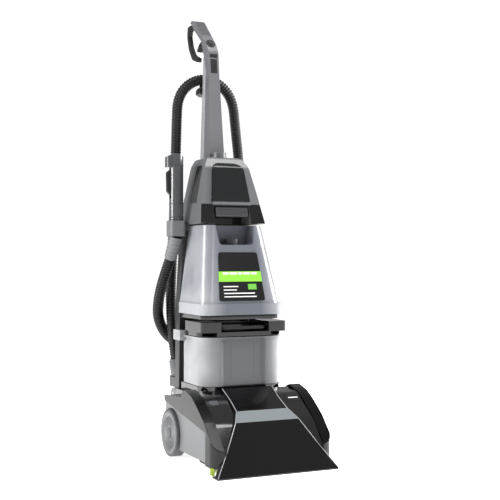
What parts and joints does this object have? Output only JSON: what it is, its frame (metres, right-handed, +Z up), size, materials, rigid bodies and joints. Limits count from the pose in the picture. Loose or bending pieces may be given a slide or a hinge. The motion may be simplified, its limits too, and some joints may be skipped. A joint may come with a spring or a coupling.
{
  "type": "upright carpet cleaner",
  "caption": "Upright carpet washing machine with a wheeled foot, clear nozzle, turning brushes, two water tanks, reclining handle, hose, wand and hand tool.",
  "frame": {"origin": "on the floor under the middle of the machine's box", "axes": "+Z up, the front towards -Y, the machine's right towards +X"},
  "size_m": [0.308, 0.539, 1.1051],
  "materials": {
    "black_gloss": "polished",
    "black_satin": "satin",
    "dark_grey": "satin",
    "mid_grey": "satin",
    "wand_grey": "satin",
    "clear_smoke": "clear, smoke tinted",
    "tank_clear": "translucent",
    "float_white": "matt",
    "tyre": "matt",
    "seal": "matt",
    "bristle": "matt",
    "hose_black": "satin, ribbed",
    "steel": "brushed"
  },
  "bodies": {
    "foot": {"base_chassis": "mid_grey", "foot_hood": "black_gloss", "left_fender": "dark_grey", "right_fender": "dark_grey", "nozzle_cover": "clear_smoke", "nozzle_duct": "black_gloss", "nozzle_lip": "clear_smoke", "brush_housing": "black_satin", "edge_bristles": "bristle", "spray_bar": "float_white", "motor_housing": "black_satin", "suction_motor": "steel", "turbine_housing": "black_satin", "solution_pump": "black_satin", "tank_seat": "black_satin", "rear_axle": "steel", "pivot_pins": "steel", "foot_screws": "steel"},
    "left_wheel": {"left_wheel": "mid_grey", "left_tyre": "tyre"},
    "right_wheel": {"right_wheel": "mid_grey", "right_tyre": "tyre"},
    "brush_1": {"brush_1": "bristle"},
    "brush_2": {"brush_2": "bristle"},
    "brush_3": {"brush_3": "bristle"},
    "brush_4": {"brush_4": "bristle"},
    "brush_5": {"brush_5": "bristle"},
    "brush_6": {"brush_6": "bristle"},
    "turbine_rotor": {"turbine_rotor": "bristle"},
    "power_pedal": {"power_pedal": "black_satin"},
    "release_pedal": {"release_pedal": "black_satin"},
    "recovery_tank": {"recovery_tank": "tank_clear"},
    "recovery_lid": {"recovery_lid": "black_satin", "lid_gasket": "seal", "float_cage": "float_white"},
    "tank_float": {"tank_float": "float_white"},
    "tank_bail": {"tank_bail": "black_satin"},
    "handle": {"handle_frame": "mid_grey", "upper_housing": "mid_grey", "side_windows": "clear_smoke", "tank_shelf": "black_satin", "handle_front": "mid_grey", "handle_back": "mid_grey", "hose_hook": "black_satin", "cord_gland": "black_satin", "wand_holder": "mid_grey", "wand": "wand_grey", "hose": "hose_black", "hose_cuff": "mid_grey", "hand_tool_body": "black_satin"},
    "solution_tank": {"solution_tank": "tank_clear"},
    "fill_cap": {"fill_cap": "black_satin"},
    "tank_latch": {"tank_latch": "mid_grey"},
    "caddy_cover": {"caddy_cover": "clear_smoke"},
    "hand_tool_brush": {"hand_tool_brush": "bristle"},
    "wand_trigger": {"wand_trigger": "black_satin"},
    "solution_trigger": {"solution_trigger": "black_satin"},
    "trigger_rod": {"trigger_rod": "steel"},
    "surge_button": {"surge_button": "black_satin"},
    "cord_hook": {"cord_hook": "black_satin"}
  },
  "joints": [
    {"name": "left_wheel_spin", "type": "hinge", "parent": "foot", "child": "left_wheel", "pos_m": [-0.1405, 0.026, 0.0564], "axis": [1, 0, 0], "continuous": true},
    {"name": "right_wheel_spin", "type": "hinge", "parent": "foot", "child": "right_wheel", "pos_m": [0.1405, 0.026, 0.0564], "axis": [1, 0, 0], "continuous": true},
    {"name": "brush_1_spin", "type": "hinge", "parent": "foot", "child": "brush_1", "pos_m": [-0.1125, -0.204, 0.03], "axis": [0, 0, 1], "continuous": true},
    {"name": "brush_2_spin", "type": "hinge", "parent": "foot", "child": "brush_2", "pos_m": [-0.0675, -0.204, 0.03], "axis": [0, 0, 1], "continuous": true},
    {"name": "brush_3_spin", "type": "hinge", "parent": "foot", "child": "brush_3", "pos_m": [-0.0225, -0.204, 0.03], "axis": [0, 0, 1], "continuous": true},
    {"name": "brush_4_spin", "type": "hinge", "parent": "foot", "child": "brush_4", "pos_m": [0.0225, -0.204, 0.03], "axis": [0, 0, 1], "continuous": true},
    {"name": "brush_5_spin", "type": "hinge", "parent": "foot", "child": "brush_5", "pos_m": [0.0675, -0.204, 0.03], "axis": [0, 0, 1], "continuous": true},
    {"name": "brush_6_spin", "type": "hinge", "parent": "foot", "child": "brush_6", "pos_m": [0.1125, -0.204, 0.03], "axis": [0, 0, 1], "continuous": true},
    {"name": "rotor_spin", "type": "hinge", "parent": "foot", "child": "turbine_rotor", "pos_m": [0.0225, -0.169, 0.07], "axis": [0, 0, 1], "continuous": true},
    {"name": "power_pedal_press", "type": "hinge", "parent": "foot", "child": "power_pedal", "pos_m": [-0.04, 0.075, 0.104], "axis": [-1, 0, 0], "range_deg": [0, 10], "stiffness_Nm_per_rad": 0.5, "springref_deg": -11.46},
    {"name": "release_pedal_press", "type": "hinge", "parent": "foot", "child": "release_pedal", "pos_m": [0.04, 0.075, 0.104], "axis": [-1, 0, 0], "range_deg": [0, 10], "stiffness_Nm_per_rad": 0.5, "springref_deg": -11.46},
    {"name": "recovery_tank_slide", "type": "slide", "parent": "foot", "child": "recovery_tank", "axis": [0, -1, 0], "range_m": [0, 0.2]},
    {"name": "lid_lift", "type": "slide", "parent": "recovery_tank", "child": "recovery_lid", "axis": [0, 0, 1], "range_m": [0, 0.0045]},
    {"name": "float_rise", "type": "slide", "parent": "recovery_lid", "child": "tank_float", "axis": [0, 0, 1], "range_m": [0, 0.032]},
    {"name": "bail_lift", "type": "hinge", "parent": "recovery_lid", "child": "tank_bail", "pos_m": [0, -0.006, 0.312], "axis": [-1, 0, 0], "range_deg": [0, 11]},
    {"name": "handle_recline", "type": "hinge", "parent": "foot", "child": "handle", "pos_m": [0, 0.106, 0.138], "axis": [-1, 0, 0], "range_deg": [0, 60]},
    {"name": "solution_tank_slide", "type": "slide", "parent": "handle", "child": "solution_tank", "axis": [0, -1, 0], "range_m": [0, 0.18]},
    {"name": "fill_cap_turn", "type": "hinge", "parent": "solution_tank", "child": "fill_cap", "pos_m": [0, 0.002, 0.512], "axis": [0, 0, 1], "continuous": true},
    {"name": "latch_pull", "type": "hinge", "parent": "handle", "child": "tank_latch", "pos_m": [0, 0.008, 0.598], "axis": [-1, 0, 0], "range_deg": [0, 12], "stiffness_Nm_per_rad": 0.5, "springref_deg": -11.46},
    {"name": "caddy_cover_open", "type": "hinge", "parent": "handle", "child": "caddy_cover", "pos_m": [0, -0.002, 0.616], "axis": [1, 0, 0], "range_deg": [0, 80]},
    {"name": "hand_tool_brush_spin", "type": "hinge", "parent": "handle", "child": "hand_tool_brush", "pos_m": [0, 0.054, 0.634], "axis": [1, 0, 0], "continuous": true},
    {"name": "wand_trigger_press", "type": "hinge", "parent": "handle", "child": "wand_trigger", "pos_m": [-0.1305, 0.086, 0.694], "axis": [0, -1, 0], "range_deg": [0, 5], "stiffness_Nm_per_rad": 0.5, "springref_deg": -11.46},
    {"name": "solution_trigger_pull", "type": "hinge", "parent": "handle", "child": "solution_trigger", "pos_m": [0, 0.164, 1.032], "axis": [1, 0, 0], "range_deg": [0, 8]},
    {"name": "trigger_rod_push", "type": "slide", "parent": "handle", "child": "trigger_rod", "axis": [0, 0, -1], "range_m": [0, 0.00279], "stiffness_N_per_m": 400, "springref_m": -0.004},
    {"name": "surge_button_press", "type": "slide", "parent": "handle", "child": "surge_button", "axis": [0, 0.6947, -0.7193], "range_m": [0, 0.002], "stiffness_N_per_m": 300, "springref_m": -0.003},
    {"name": "cord_hook_swing", "type": "hinge", "parent": "handle", "child": "cord_hook", "pos_m": [-0.0082, 0.24, 1.088], "axis": [1, 0, 0], "range_deg": [0, 20]}
  ],
  "couplings": [
    {"joint": "brush_2_spin", "follows": "brush_1_spin", "ratio": -1},
    {"joint": "brush_3_spin", "follows": "brush_1_spin", "ratio": 1},
    {"joint": "brush_4_spin", "follows": "brush_1_spin", "ratio": -1},
    {"joint": "brush_5_spin", "follows": "brush_1_spin", "ratio": 1},
    {"joint": "brush_6_spin", "follows": "brush_1_spin", "ratio": -1},
    {"joint": "rotor_spin", "follows": "brush_1_spin", "ratio": 1.8},
    {"joint": "solution_trigger_pull", "follows": "trigger_rod_push", "rad_per_m": 50}
  ]
}
